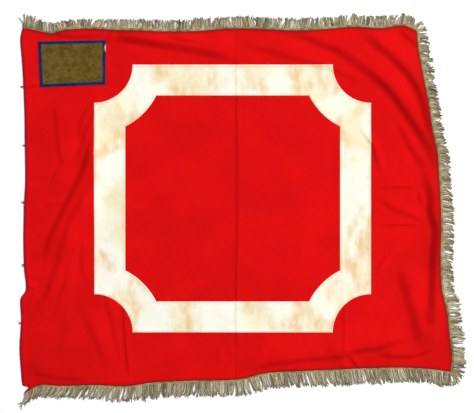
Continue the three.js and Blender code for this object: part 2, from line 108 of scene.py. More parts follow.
# Finer creases, too small for the solids, in the same form, with one height each.
CREASES = [
    ([(110, 604), (150, 599), (197, 591), (270, 562), (333, 536), (407, 483)], 2.6, 22, 90),
    ([(-476, 586), (-430, 580), (-370, 574), (-300, 565), (-230, 553)], 4, 28, 70),
    ([(370, 512), (445, 455), (508, 395), (556, 330), (608, 248), (664, 150)], 2.6, 22, 90),
    ([(470, 549), (512, 512), (563, 457), (600, 395), (622, 324), (642, 240)], 2.4, 22, 70),
    ([(522, 620), (552, 594), (580, 570), (604, 548)], 5.4, 20, 60),
    ([(394, 307), (405, 270), (424, 245), (446, 211), (452, 182), (466, 143), (478, 96)], 3.2, 8, 30),
    ([(438, 50), (486, 21), (520, 1), (554, -10), (588, -27), (636, -52)], 3.2, 12, 44),
    ([(598, 75), (604, 40), (608, 8)], 2, 12, 40),
    ([(356, -490), (378, -514), (398, -540)], 3.2, 8, 24),
    ([(330, -520), (344, -532), (352, -548)], 2.6, 8, 24),
    ([(536, -108), (486, -160), (448, -226)], 3.6, 10, 36),
    ([(619, -325), (625, -355), (632, -387)], 2, 14, 44),
    ([(-470, 410), (-490, 392), (-518, 358), (-535, 330), (-546, 301), (-558, 262), (-564, 228)], 4, 18, 60),
    ([(-584, -170), (-592, -214), (-606, -260), (-620, -298), (-636, -334), (-664, -368)], 4.4, 20, 60),
    ([(-603, -330), (-604, -380), (-608, -420), (-622, -454), (-650, -480)], 2.2, 26, 70),
    ([(-646, -230), (-664, -280), (-684, -312), (-708, -336), (-744, -352)], 4.6, 22, 60),
    ([(-548, -320), (-530, -380), (-506, -430), (-483, -486), (-450, -555)], 3.6, 30, 70),
    ([(-492, -240), (-466, -300), (-446, -370), (-432, -440), (-412, -525)], 3.2, 20, 50),
    ([(-540, -60), (-543, -130), (-545, -200), (-535, -260)], 3, 20, 60),
    ([(-738, -262), (-715, -266), (-690, -262)], 1.8, 8, 24),
    ([(-676, 13), (-640, 20), (-588, 31)], 2.6, 7, 20),
    ([(-258, 590), (-188, 575), (-118, 575)], 4, 12, 44),
    ([(-86, -460), (-84, -490), (-88, -515)], 1.6, 8, 28),
    ([(-50, -455), (-44, -480), (-30, -505)], 1.6, 8, 28),
    ([(-690, 612), (-610, 593), (-542, 589), (-440, 603)], 5, 16, 50),
    ([(-440, 610), (-452, 592), (-470, 578)], 3.6, 9, 26),
    ([(-752, 412), (-715, 420), (-676, 429)], 3.6, 8, 26),
]
FOLD_END = 0.22  # the share of a fold's length over which each of its ends dies away
CREASE_END = 0.36  # the same share of a crease
FOLD_STEPS = 28

# Press lines from the time when the flag lay folded, in the same form. They are low and sharp, and the
# higher one stands, the darker the painted shade along it.
PRESS_LINES = [
    ([(-20, 560), (-22, 300), (-18, 40), (-24, -220), (-20, -560)], 0.9, 8, 14),
    ([(-410, -294), (-407, -350), (-402, -435), (-396, -498), (-388, -584)], 1.3, 12, 16),
    ([(343, -210), (341, -360), (343, -509)], 0.7, 8, 14),
    ([(-729, 104), (-690, 107), (-653, 106)], 0.4, 8, 12),
    ([(458, 71), (530, 74), (598, 72)], 0.9, 7, 12),
    ([(452, -57), (540, -54), (615, -56)], 0.8, 7, 12),
]
PRESS_SHADE_FLANKS = (7, 8)  # the flanks of the strip of painted shade along each
PRESS_X = -20  # where the press line down the middle lies, with painted shade along it
PRESS_WOBBLE = 5

# Low swells all over the cloth: their number, height, evenness, highest share and range of lengths.
SWELLS = 14
SWELL_HEIGHT = 0.9
SWELL_EVENNESS = 1.6
SWELL_LIMIT = 1.3
SWELL_LENGTHS = (90, 330)

# Layers, measured up from the cloth's underside.
CLOTH_THICKNESS = 1.2
LAYER_GAP = 0.25
BAND_THICKNESS = 0.7
PATCH_THICKNESS = 1.2
BINDING_THICKNESS = 1.7

# Cells of the cloth's upper face, closer together near its edges. The underside has half as many each way.
CELLS_ALONG = 296
CELLS_ACROSS = 256
CELL_CROWDING = 0.36

# Painted shade darkens the cloth within a distance of its edges beside the fringe, and on its underside.
# More painted shade darkens it near the fly edge and towards the foot's ends: fully within the first
# distance from the edge, and not at all past the second.
CLOTH_SIZE = (1400, 1190)
SEAM_SHADE = 16
UNDERSIDE_SHADE = 0.6
SHADED_FLY = (15, 92)
SHADED_FOOT = (40, 190)
SHADED_HOIST = (90, 420)
FLY_CORNER_SHADE = 0.55
HOIST_CORNER_SHADE = 0.9
EDGE_THINNING = 0.45  # the share of its thickness that the cloth loses on its edge
HOIST_HEM = 16
HEM_RISE = 0.5

# From the band's edge inwards: the distance, how thick the turned edge is as a share, and how soiled.
BAND_CENTRE = (-32, 40)
BAND_HALF = (470, 455)
BAND_WIDTH = 105
BAND_CORNER = 130
BAND_EDGE = [(0, 0.25, 1), (0.5, 0.75, 0), (1.4, 1.0, 0), (3.5, 1.1, 0.4), (7.5, 1.05, 0.4), (9.8, 0.62, 0)]
BAND_MIDDLE_RISE = 0.6
BAND_MIDDLE_ROWS = 15
BAND_ARC_POINTS = 41
BAND_SIDE_POINTS = 130
PUCKER_HEIGHT = 0.12
PUCKER_TURN = 1.9

PATCH_CORNERS = [(-687, 418), (-463, 427), (-463, 579), (-693, 574)]
PATCH_GRID = (50, 72)
BINDING_WIDTH = 12
BINDING_OVERLAP = 4
BINDING_POINTS = (64, 44, 64, 44)
BARE_SPOT = (106, 48)  # the pixel at which the binding has worn bare

# Across the binding, outside to inside: the share of its width and of its thickness, and 1 on its inner line.
BINDING_PROFILE = [
    (0, 0.3, 0), (0.05, 0.8, 0), (0.14, 1.0, 0), (0.3, 1.05, 0), (0.5, 1.0, 0),
    (0.7, 0.98, 0), (0.8, 0.8, 0), (0.86, 0.98, 1), (0.94, 0.95, 1), (1, 0.7, 1),
]

# Across the heading, from the cloth outwards: the share of its width and of its thickness.
HEADING_PROFILE = [
    (0.0, 0.25), (0.03, 0.75), (0.14, 0.97), (0.32, 1.0), (0.46, 0.9), (0.52, 0.86), (0.58, 0.9),
    (0.74, 1.0), (0.9, 0.95), (0.98, 0.7), (1.0, 0.2),
]
HEADING_GAP = 0.3
HEADING_WIDTH = 8
HEADING_THICKNESS = 2.4
HEADING_WRAP = 3.4
HEADING_GROOVE = 0.52  # how far across the heading its sewn groove lies
HEADING_SLANT = 1.1
HEADING_TWIST = 0.73  # how much less its yarn is twisted than the strands
WRAP_DEPTH = 0.28

# The reach of the fringe beyond its heading and its lean, read at even steps along each side, near those of
# the solids, and how much paler its yarn is there. The belly is how far the middle of a lock stands aside,
# which opens gaps between locks that close again at their ends. The curl is how many degrees its strands
# bend aside by their tips, and an unruly fringe has locks and strands that lie all ways.
HEAD_FRINGE = {
    "reach": [35, 25, 24, 31, 32, 33, 32, 31, 33, 33, 34, 28],
    "lean": [-6, -16, 6, -6, 5, -4, 6, 0, 8, 6],
    "tone": [-0.12, 0, 0.04, 0.02, 0.04, 0.02, 0.04, 0.04, 0.02],
    "belly": 2.6,
    "curl": 0,
    "unruly": 1.6,
    "seed": 4,
}
FLY_FRINGE = {
    "reach": [29, 33, 32, 33, 35, 38, 37, 39, 40, 39],
    "lean": [4, 10, 12, 6, 12, 5, 10, 4, 12, 8],
    "tone": [-0.16, -0.16, -0.16, -0.14, -0.1, -0.06, 0.02, 0.08, 0.08, -0.02],
    "belly": 3.4,
    "curl": 18,
    "unruly": 1.3,
    "seed": 2,
}
FOOT_FRINGE = {
    "reach": [43, 39, 44, 45, 43, 45, 44, 44, 43, 41, 38, 45],
    "lean": [-14, -20, -18, -14, -14, -8, 2, 8, 12, 22, 34, 44, 60],
    "tone": [0, 0, 0.05, 0.12, 0.14, 0.1, 0.05, 0, 0, -0.04, -0.04],
    "belly": 2.0,
    "curl": 0,
    "unruly": 0.8,
    "seed": 3,
}
FRINGE_STATIONS = 900
CORNER_STATIONS = 12
CORNER_CROWDING = 2.4  # how much closer the strands stand round a corner
HANG_SMOOTHING = 70
STRAND_PITCH = 1.6
STRAND_RADIUS = 1.2
STRAND_TAPER = 0.3
STRAND_STATIONS = 12
STRAND_SIDES = 6
ROOT_DEPTH = 3.5  # how far inside the heading a strand starts
ROOT_HEIGHT = 1.3
PILE_HEIGHT = 2.1
LOCK_SIZES = (4, 13)
LOOSE_STRANDS = 0.12  # the share of the strands that hardly follow their lock
LOOSE_FOLLOWING = 0.25
STRAY_STRANDS = 0.07
STRAY_LEAN = 22
YARN_TWIST = 4.5  # the length of one turn of the yarn's twist

# Stitches: their spacing, length and radius, then how far in from the edge each seam lies, and the points of
# the edges that are sewn. Along a stitch: the place, the height and the width, as shares.
HEADING_STITCH = (7, 4.6, 0.4)
BAND_STITCH = (5.2, 3.4, 0.34)
HEM_STITCH = (5.5, 3.4, 0.3)
EDGE_STITCH = (6, 3.6, 0.3)
BINDING_STITCH = (6.5, 3.6, 0.36)
BAND_SEAM = 3.2
HEM_SEAM = HOIST_HEM - 3.5
EDGE_SEAM = 4
BINDING_SEAM = 1.3
SEWN_HOIST = slice(40, -90)
SEWN_HEAD = slice(12, None)
SEWN_FOOT = slice(1, -60)
STITCH_PROFILE = [(-0.5, -0.6, 0.6), (-0.3, 0.1, 1), (0, 0.45, 1), (0.3, 0.1, 1), (0.5, -0.6, 0.6)]
THREAD_SIDES = 5

# Where the ends of the hoist's sewing threads stand: up the flag, and their lean in degrees.
THREADS = [(419, 4), (219, -16), (28, 6), (-184, 26), (-383, 8)]
THREAD_SEED = 9
THREAD_LENGTH = 13
THREAD_INSET = 2.5
FIBRES = 9
FIBRE_STATIONS = 8
FIBRE_RADIUS = 0.42
FIBRE_HEIGHT = 0.4

FLOOR_HALF = 20000
FLOOR_DROP = 0.4

# The square key lamp has a sun's strength at the origin and less further from it. Metres from here on.
KEY_STRENGTH = 3.1
KEY_DISTANCE = 12
CAMERA_HEIGHT = 4.0
CAMERA_SIGHT = 50
SENSOR_WIDTH = 36  # of the camera, in millimetres as Blender counts it


def smoothstep(low, high, value):
    share = np.clip((value - low) / (high - low), 0, 1)
    return share * share * (3 - 2 * share)


def unit(vectors):
    return vectors / np.linalg.norm(vectors, axis=-1, keepdims=True)


def turned(directions, angles):
    """Flat directions turned anticlockwise by angles in radians."""
    x = directions[..., 0]
    y = directions[..., 1]
    cos = np.cos(angles)
    sin = np.sin(angles)
    return np.stack([x * cos - y * sin, x * sin + y * cos], axis=-1)


def walked(line):
    """How far along a line each of its points is."""
    return np.concatenate([[0], np.cumsum(np.linalg.norm(np.diff(line, axis=0), axis=1))])


def sampled(line, far, places):
    """A line's points at given places, on the same scale as far, which says where its own points are."""
    return np.stack([np.interp(places, far, column) for column in line.T], axis=-1)


def even_points(line, count):
    """A line resampled to points that are evenly spaced along it."""
    far = walked(line)
    return sampled(line, far, np.linspace(0, far[-1], count))


def curve_points(control, count):
    """Evenly spaced points on the centripetal Catmull-Rom curve through the control points."""
    given = np.array(control, float)
    points = np.vstack([2 * given[0] - given[1], given, 2 * given[-1] - given[-2]])
    share = np.linspace(0, 1, CURVE_STEPS + 1)[:, None]
    pieces = []
    for a, b, c, d in zip(points, points[1:], points[2:], points[3:]):
        before, here, after = (math.sqrt(np.linalg.norm(q - p)) for p, q in ((a, b), (b, c), (c, d)))
        start = here * ((b - a) / before - (c - a) / (before + here) + (c - b) / here)
        end = here * ((c - b) / here - (d - b) / (here + after) + (d - c) / after)
        cubic = 2 * b - 2 * c + start + end
        square = -3 * b + 3 * c - 2 * start - end
        pieces.append(b + start * share + square * share**2 + cubic * share**3)
    return even_points(np.vstack(pieces), count)


def closed_loop(points):
    return np.vstack([points, points[:1]])


EDGE_CONTROLS = {"head": HEAD_EDGE, "fly": FLY_EDGE, "foot": FOOT_EDGE, "hoist": HOIST_EDGE}
EDGES = {name: curve_points(control, EDGE_POINTS) for name, control in EDGE_CONTROLS.items()}


def on_edge(name, share):
    return sampled(EDGES[name], np.linspace(0, 1, EDGE_POINTS), share)


def hoist_x(y):
    """Where the hoist's edge is, at places up the flag."""
    return np.interp(-y, -EDGES["hoist"][:, 1], EDGES["hoist"][:, 0])


def between(corners, a, u):
    """Points between four corners, given their shares of the way from hoist to fly and foot to head."""
    foot = (1 - a) * (1 - u) * corners[0] + a * (1 - u) * corners[1]
    return foot + (1 - a) * u * corners[2] + a * u * corners[3]


def lay(along, up):
    """Where points of the cloth lie, given the same two shares."""
    a = along[..., None]
    u = up[..., None]
    corners = [EDGES["foot"][0], EDGES["foot"][-1], EDGES["head"][0], EDGES["head"][-1]]
    sides = (1 - u) * on_edge("foot", along) + u * on_edge("head", along)
    ends = (1 - a) * on_edge("hoist", 1 - up) + a * on_edge("fly", 1 - up)
    return sides + ends - between(corners, a, u)


def from_pixel(column, row):
    """The place on the surface that a pixel of the photograph shows."""
    return (column - ORIGIN_PIXEL[0]) * MM_PER_PIXEL, (ORIGIN_PIXEL[1] - row) * MM_PER_PIXEL


def ridge(form, flat, end=FOLD_END):
    """The height of one fold, crease or press line at flat points."""
    control, height, steep, gentle = form
    x = flat[..., 0]
    y = flat[..., 1]
    line = curve_points(control, FOLD_STEPS + 1)
    margin = steep + gentle
    near = (x > line[:, 0].min() - margin) & (x < line[:, 0].max() + margin)
    near &= (y > line[:, 1].min() - margin) & (y < line[:, 1].max() + margin)
    px = x[near]
    py = y[near]
    closest = np.full(px.shape, np.inf)
    offset = np.zeros(px.shape)
    share = np.zeros(px.shape)
    for k in range(FOLD_STEPS):
        start = line[k]
        step = line[k + 1] - start
        length = np.hypot(*step)
        along = np.clip(((px - start[0]) * step[0] + (py - start[1]) * step[1]) / length**2, 0, 1)
        away = np.hypot(px - start[0] - along * step[0], py - start[1] - along * step[1])
        nearer = away < closest
        closest = np.where(nearer, away, closest)
        side = (step[0] * (py - start[1]) - step[1] * (px - start[0])) / length
        offset = np.where(nearer, side, offset)
        share = np.where(nearer, (k + along) / FOLD_STEPS, share)
    distance = np.sign(offset) * closest
    crest = steep / 2
    profile = smoothstep(-crest, crest, distance) * (1 - smoothstep(crest, crest + gentle, distance))
    ends = smoothstep(0, end, share) * (1 - smoothstep(1 - end, 1, share))
    result = np.zeros(x.shape)
    result[near] = np.interp(share, (0, 1), np.broadcast_to(height, 2)) * profile * ends
    return result


def lift(flat):
    """How high the cloth's underside stands above the floor at flat points, with all its folds."""
    total = np.zeros(flat.shape[:-1])
    for forms, end in ((FOLDS, FOLD_END), (CREASES, CREASE_END), (PRESS_LINES, FOLD_END)):
        for form in forms:
            total = total + ridge(form, flat, end)
    draw = np.random.default_rng(SEED)
    lengths = draw.uniform(*SWELL_LENGTHS, SWELLS)
    angles = draw.uniform(0, math.pi, SWELLS)
    phases = draw.uniform(0, 2 * math.pi, SWELLS)
    swell = np.zeros(flat.shape[:-1])
    for length, angle, phase in zip(lengths, angles, phases):
        across = flat[..., 0] * math.cos(angle) + flat[..., 1] * math.sin(angle)
        swell = swell + np.sin(across * 2 * math.pi / length + phase)
    swell = 0.5 + swell / (SWELL_EVENNESS * math.sqrt(SWELLS))
    return total + SWELL_HEIGHT * np.clip(swell, 0, SWELL_LIMIT)


def raised(flat, height):
    """Flat points at a height."""
    return np.concatenate([flat, height[..., None]], axis=-1)


def add_object(name, data):
    made = bpy.data.objects.new(name, data)
    bpy.context.scene.collection.objects.link(made)
    return made


def piece(name, points, faces, material, nodes=()):
    """A mesh object from points in millimetres, riding on the body and standing for CAD nodes."""
    mesh = bpy.data.meshes.new(name)
    mesh.from_pydata((np.asarray(points, float) * MM).tolist(), [], [list(map(int, face)) for face in faces])
    mesh.polygons.foreach_set("use_smooth", [True] * len(mesh.polygons))
    mesh.materials.append(material)
    mesh.update()
    made = add_object(name, mesh)
    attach(made, "root")
    if nodes:
        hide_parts(*nodes)
    return made


def point_values(made, name, values):
    """Values for a piece's points. Values for one face of a sheet serve its other face too."""
    mesh = made.data
    attribute = mesh.attributes.new(name, "FLOAT", "POINT")
    whole = np.tile(values, len(mesh.vertices) // len(values))
    attribute.data.foreach_set("value", whole.astype(np.float32))


class Shader:
    """A node material, built up by short calls. A socket is given as a value or as another node's output."""

    def __init__(self, name, roughness, specular, sheen=0.0, sheen_tint=(1, 1, 1, 1)):
        self.material = bpy.data.materials.new(name)
        self.material.use_nodes = True
        self.tree = self.material.node_tree
        self.shader = self.tree.nodes["Principled BSDF"]
        for socket, value in (
            ("Roughness", roughness),
            ("Specular IOR Level", specular),
            ("Sheen Weight", sheen),
            ("Sheen Roughness", 0.5),
            ("Sheen Tint", sheen_tint),
        ):
            self.shader.inputs[socket].default_value = value
        self.place = self.node("TexCoord").outputs["Object"]

    def node(self, kind, settings=None, inputs=None):
        made = self.tree.nodes.new(f"ShaderNode{kind}")
        for key, value in (settings or {}).items():
            setattr(made, key, value)
        for key, value in (inputs or {}).items():
            if isinstance(value, bpy.types.NodeSocket):
                self.tree.links.new(value, made.inputs[key])
            else:
                made.inputs[key].default_value = value
        return made

    def math(self, operation, a, b=0.0):
        return self.node("Math", {"operation": operation}, {0: a, 1: b}).outputs[0]

    def times(self, a, b):
        return self.math("MULTIPLY", a, b)

    def noise(self, size, detail=2.0, roughness=0.5, distortion=0.0, place=None):
        """Noise whose blotches are about the given size in millimetres."""
        inputs = {"Vector": place or self.place, "Scale": 1 / (size * MM), "Detail": detail}
        inputs.update({"Roughness": roughness, "Distortion": distortion})
        return self.node("TexNoise", None, inputs).outputs["Fac"]

    def ramp(self, value, low, high, start=0.0, end=1.0):
        inputs = {"Value": value, "From Min": low, "From Max": high, "To Min": start, "To Max": end}
        made = self.node("MapRange", {"interpolation_type": "SMOOTHSTEP"}, inputs)
        return made.outputs["Result"]

    def mix(self, share, a, b):
        return self.node("Mix", {"data_type": "RGBA"}, {0: share, 6: a, 7: b}).outputs[2]

    def scale(self, colour, factor):
        grey = self.node("CombineColor", None, {0: factor, 1: factor, 2: factor}).outputs[0]
        kind = {"data_type": "RGBA", "blend_type": "MULTIPLY"}
        return self.node("Mix", kind, {0: 1.0, 6: colour, 7: grey}).outputs[2]

    def attribute(self, name):
        return self.node("Attribute", {"attribute_name": name}).outputs["Fac"]

    def tinted(self, colour, name, most, tint):
        """A colour tinted where the mesh's attribute of that name is high, by a given share at most."""
        return self.mix(self.times(self.attribute(name), most), colour, tint)

    def axis(self, name):
        return self.node("SeparateXYZ", None, {0: self.place}).outputs[name]

    def weave(self, pitch):
        """The over and under of a plain weave with the given pitch, from -1 to 1."""
        turn = 2 * math.pi / (pitch * MM)
        across = self.math("SINE", self.times(self.axis("X"), turn))
        up = self.math("SINE", self.times(self.axis("Y"), turn))
        return self.times(across, up)

    def middle_press(self, width):
        """How near a point is to the press line down the middle: 1 on the line, 0 outside its width."""
        drift = self.times(self.math("SUBTRACT", self.noise(120, 1), 0.5), PRESS_WOBBLE * MM)
        offset = self.math("SUBTRACT", self.math("ADD", self.axis("X"), drift), PRESS_X * MM)
        return self.ramp(self.math("ABSOLUTE", offset), 0, width * MM, 1, 0)

    def bump(self, height, depth, strength, normal=None):
        inputs = {"Height": height, "Distance": depth * MM, "Strength": strength}
        if normal is not None:
            inputs["Normal"] = normal
        return self.node("Bump", None, inputs).outputs["Normal"]

    def finish(self, colour, normal=None):
        self.tree.links.new(colour, self.shader.inputs["Base Color"])
        if normal is not None:
            self.tree.links.new(normal, self.shader.inputs["Normal"])
        return self.material


def red_cloth():
    s = Shader("red_cloth", 0.85, specular=0.04, sheen=0.12, sheen_tint=(1, 0.06, 0.05, 1))
    blotch = s.ramp(s.noise(170, 3), 0.38, 0.64)
    colour = s.mix(blotch, (0.595, 0.0026, 0.0032, 1), (0.655, 0.0030, 0.0036, 1))
    streak = s.ramp(s.noise(34, 4, 0.6), 0.45, 0.75, 0, 0.3)
    colour = s.mix(streak, colour, (0.53, 0.0024, 0.0034, 1))
    # Painted shade along the press lines.
    colour = s.tinted(colour, "crease", 0.5, (0.30, 0.0010, 0.0016, 1))
    # Painted shade: a dark line along the cloth's edges beside the fringe's heading, and over its underside.
    colour = s.tinted(colour, "seam", 0.85, (0.15, 0.0050, 0.0020, 1))
    # Painted shade: a dark purple line along the hoist's edge.
    colour = s.tinted(colour, "hoist_edge_shade", 0.85, (0.12, 0.0015, 0.028, 1))
    # Painted shade along the press line down the middle.
    colour = s.mix(s.times(s.middle_press(2.2), 0.55), colour, (0.25, 0.0020, 0.0020, 1))
    dull = s.ramp(s.noise(70, 5, 0.65, 0.4), 0.62, 0.75, 0, 0.25)
    colour = s.mix(dull, colour, (0.42, 0.0050, 0.0035, 1))
    # Painted shade near the fly edge and towards both ends of the foot.
    colour = s.tinted(colour, "fly_foot_shade", 0.34, (0.38, 0.0030, 0.0030, 1))
    rumple = s.bump(s.noise(24, 3, 0.55), 1.6, 0.35)
    fibre = s.bump(s.noise(1.1, 3, 0.7), 0.10, 0.6, rumple)
    return s.finish(colour, s.bump(s.weave(1.1), 0.05, 0.6, fibre))


def cream_cloth():
    s = Shader("cream_cloth", 0.88, specular=0.08, sheen=0.06, sheen_tint=(1, 0.95, 0.8, 1))
    light = (0.86, 0.85, 0.74, 1)
    warm = (0.82, 0.75, 0.52, 1)
    tan = (0.75, 0.53, 0.28, 1)
    stretched = s.node("Mapping", None, {"Vector": s.place, "Scale": (1.0, 0.42, 1.0)})
    colour = s.mix(s.ramp(s.noise(170, 2, 0.5, 0.2), 0.42, 0.66), light, warm)
    streaks = s.ramp(s.noise(34, 3, 0.6, 0.1, stretched.outputs[0]), 0.32, 0.68)
    stained = s.times(streaks, s.ramp(s.noise(150, 2, 0.5, 0.3), 0.46, 0.62))
    colour = s.mix(s.times(stained, 0.95), colour, tan)
    colour = s.mix(s.ramp(s.noise(5, 3, 0.6), 0.45, 0.72, 0, 0.10), colour, tan)
    damp = s.noise(70, 3, 0.55, 0.4)
    tide = s.math("SUBTRACT", s.ramp(damp, 0.54, 0.575), s.ramp(damp, 0.575, 0.65))
    colour = s.mix(s.times(tide, 0.14), colour, (0.70, 0.48, 0.24, 1))
    specks = s.node("TexVoronoi", None, {"Vector": s.place, "Scale": 1 / (38 * MM)})
    speck = s.ramp(specks.outputs["Distance"], 0.015, 0.045, 0.75, 0)
    colour = s.mix(speck, colour, (0.24, 0.18, 0.12, 1))
    # Painted shade along the press line down the middle, broken up by noise.
    press = s.times(s.middle_press(1.6), s.ramp(s.noise(40, 2), 0.35, 0.6, 0.25, 0.8))
    colour = s.mix(press, colour, (0.40, 0.34, 0.27, 1))
    colour = s.tinted(colour, "edge", 0.4, (0.58, 0.40, 0.22, 1))
    rumple = s.bump(s.noise(20, 3, 0.55), 1.2, 0.3)
    fibre = s.bump(s.noise(1.3, 3, 0.7), 0.10, 0.6, rumple)
    return s.finish(colour, s.bump(s.weave(0.9), 0.05, 0.6, fibre))


def brown_felt():
    s = Shader("brown_felt", 0.95, specular=0.05, sheen=0.08, sheen_tint=(0.9, 0.75, 0.4, 1))
    blotch = s.ramp(s.noise(24, 4, 0.6), 0.35, 0.65)
    colour = s.mix(blotch, (0.082, 0.046, 0.0050, 1), (0.132, 0.082, 0.0135, 1))
    pale = s.ramp(s.noise(6, 4, 0.7), 0.42, 0.70, 0, 0.7)
    colour = s.mix(pale, colour, (0.170, 0.115, 0.026, 1))
    dark = s.ramp(s.noise(16, 4, 0.65), 0.50, 0.70, 0, 0.6)
    colour = s.mix(dark, colour, (0.058, 0.041, 0.0060, 1))
    fuzz = s.bump(s.noise(1.4, 4, 0.75), 0.3, 0.8)
    return s.finish(colour, s.bump(s.noise(9, 3), 0.5, 0.5, fuzz))


def blue_braid():
    s = Shader("blue_braid", 0.85, specular=0.1, sheen=0.05, sheen_tint=(0.4, 0.6, 1, 1))
    blotch = s.ramp(s.noise(20, 3), 0.35, 0.65)
    colour = s.mix(blotch, (0.0040, 0.014, 0.056, 1), (0.0080, 0.024, 0.092, 1))
    colour = s.tinted(colour, "inner", 0.8, (0.030, 0.090, 0.120, 1))
    colour = s.mix(s.ramp(s.noise(6, 4, 0.7), 0.62, 0.78, 0, 0.4), colour, (0.050, 0.055, 0.14, 1))
    colour = s.tinted(colour, "bare", s.ramp(s.noise(3, 3), 0.3, 0.55), (0.62, 0.66, 0.60, 1))
    return s.finish(colour, s.bump(s.weave(1.6), 0.25, 0.8))


def yarn(name, dark, mid, pale):
    s = Shader(name, 0.68, specular=0.22, sheen=0.06, sheen_tint=(1, 0.9, 0.65, 1))
    tone = s.attribute("tone")
    colour = s.mix(s.ramp(tone, 0.0, 0.5), dark, mid)
    colour = s.mix(s.ramp(tone, 0.5, 1.0), colour, pale)
    colour = s.mix(s.ramp(s.noise(36, 4, 0.6), 0.5, 0.72, 0, 0.35), colour, dark)
    # Painted shade at the strands' tips.
    colour = s.tinted(colour, "tip_shade", 0.8, dark)
    turn = s.times(s.attribute("along"), 2 * math.pi / YARN_TWIST)
    twist = s.math("SINE", s.math("ADD", turn, s.attribute("around")))
    # Painted shade in the grooves of the yarn's twist, along with its bump.
    colour = s.scale(colour, s.ramp(twist, -1, 0.2, 0.75, 1.0))
    return s.finish(colour, s.bump(twist, 0.3, 0.7))


def thread(name, colour):
    s = Shader(name, 0.7, specular=0.15, sheen=0.05)
    shade = s.ramp(s.noise(1.5, 2), 0.3, 0.7, 0.75, 1.1)
    return s.finish(s.scale(colour, shade), s.bump(s.noise(0.5, 2), 0.1, 0.5))


def floor_paint():
    s = Shader("floor_paint", 0.9, specular=0.05)
    cloud = s.ramp(s.noise(400, 3), 0.3, 0.7)
    return s.finish(s.mix(cloud, (0.93, 0.935, 0.94, 1), (0.945, 0.95, 0.955, 1)))


RED = red_cloth()
CREAM = cream_cloth()
FELT = brown_felt()
BRAID = blue_braid()
YARN = yarn("fringe_yarn", (0.110, 0.082, 0.036, 1), (0.335, 0.275, 0.145, 1), (0.66, 0.59, 0.41, 1))
HEADING = yarn("heading_yarn", (0.15, 0.115, 0.050, 1), (0.285, 0.225, 0.105, 1), (0.40, 0.33, 0.18, 1))
RED_THREAD = thread("red_thread", (0.50, 0.006, 0.008, 1))
CREAM_THREAD = thread("cream_thread", (0.74, 0.66, 0.44, 1))
BLUE_THREAD = thread("blue_thread", (0.010, 0.035, 0.15, 1))
YARN_THREAD = thread("yarn_thread", (0.34, 0.29, 0.19, 1))
DARK_THREAD = thread("dark_thread", (0.100, 0.022, 0.065, 1))


def grid_faces(columns, rows, start=0, flip=False, close=False):
    """Quads over a grid of points numbered along its rows. With close, the last column joins the first."""
    row, column = np.mgrid[0 : rows - 1, 0 : columns if close else columns - 1]
    a = start + row * columns + column
    b = start + row * columns + (column + 1) % columns
    faces = np.stack([a, b, b + columns, a + columns], axis=-1).reshape(-1, 4)
    return faces[:, ::-1] if flip else faces


def closed_sheet(upper, lower, columns, rows, close=False):
    """Points and faces of a sheet between two grids of points of the same size. With close, it is a ring."""
    count = columns * rows
    faces = [grid_faces(columns, rows, 0, False, close), grid_faces(columns, rows, count, True, close)]

    def wall(here, there):
        faces.append(np.stack([here, there, there + count, here + count], axis=-1))

    column = np.arange(columns if close else columns - 1)
    following = (column + 1) % columns
    last = (rows - 1) * columns
    wall(following, column)
    wall(last + column, last + following)
    if not close:
        row = np.arange(rows - 1) * columns
        right = row + columns - 1
        wall(row, row + columns)
        wall(right + columns, right)
    return np.vstack([upper, lower]), np.vstack(faces)


def laid_piece(name, flat, rise, waves, close, material, node):
    """A sheet that lies on the cloth over a grid of flat points. Its upper face stands the rise above its
    lower face, with low waves."""
    rows, columns = flat.shape[:2]
    base = lift(flat) + CLOTH_THICKNESS + LAYER_GAP
    top = raised(flat, base + rise + waves).reshape(-1, 3)
    points, faces = closed_sheet(top, raised(flat, base).reshape(-1, 3), columns, rows, close)
    return piece(name, points, faces, material, [node])


def hem_rise(flat):
    """The turned hem at the hoist stands a little above the rest of the cloth."""
    inward = flat[..., 0] - hoist_x(flat[..., 1])
    return HEM_RISE * (1 - smoothstep(HOIST_HEM - 3, HOIST_HEM + 2, inward))


def crowded_steps(count):
    """Steps from 0 to 1 that are closer together near both ends."""
    even = np.linspace(0, 1, count)
    return even - CELL_CROWDING * np.sin(2 * math.pi * even) / (2 * math.pi)


def edge_closeness(along, up, hoist_only=False):
    """How close points of the cloth are to its edges, or to the hoist's alone: from 1 on the edge to 0."""
    distance = along * CLOTH_SIZE[0]
    if not hoist_only:
        others = [(1 - along) * CLOTH_SIZE[0], up * CLOTH_SIZE[1], (1 - up) * CLOTH_SIZE[1]]
        distance = np.minimum.reduce([distance, *others])
    return np.clip(1 - distance / SEAM_SHADE, 0, 1) ** 2


def painted_edge_shade(along, up):
    """How much painted shade darkens the cloth along its fly edge and towards both ends of its foot, from 0
    to 1.
    """
    height = up * CLOTH_SIZE[1]
    fly = 1 - smoothstep(*SHADED_FLY, (1 - along) * CLOTH_SIZE[0])
    fly_corner = (1 - smoothstep(*SHADED_FOOT, height)) * smoothstep(0.55, 0.85, along)
    low = 1 - smoothstep(0, 2 * SHADED_FOOT[1], height)
    hoist_corner = low * (1 - smoothstep(*SHADED_HOIST, along * CLOTH_SIZE[0]))
    return np.maximum.reduce([fly, FLY_CORNER_SHADE * fly_corner, HOIST_CORNER_SHADE * hoist_corner])


